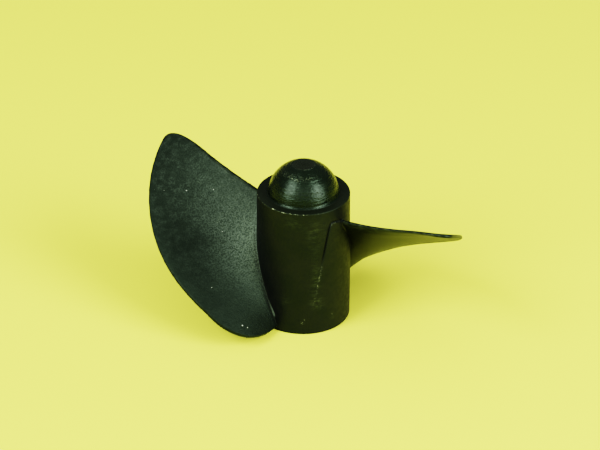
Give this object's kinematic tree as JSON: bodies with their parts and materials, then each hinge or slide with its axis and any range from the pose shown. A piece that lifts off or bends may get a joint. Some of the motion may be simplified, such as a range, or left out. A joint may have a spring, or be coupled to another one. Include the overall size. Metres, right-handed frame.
{
  "type": "two-blade moulded propeller for a model boat",
  "caption": "Small moulded plastic boat propeller: a round hub with a domed nose, swept curved blades and a threaded brass insert in its base.",
  "frame": {"origin": "centre of the hub's base face, on the shaft axis", "axes": "+Z along the shaft axis from the base to the domed nose; +X across the blades, along the longest extent"},
  "size_m": [0.0404, 0.0264, 0.0219],
  "materials": {
    "black_nylon": "satin moulded glass-filled nylon, grained on the blades and smoother on the hub and dome",
    "brass": "turned, a little dull"
  },
  "bodies": {
    "root": {"hub_and_blades": "black_nylon", "threaded_insert": "brass"}
  },
  "joints": []
}
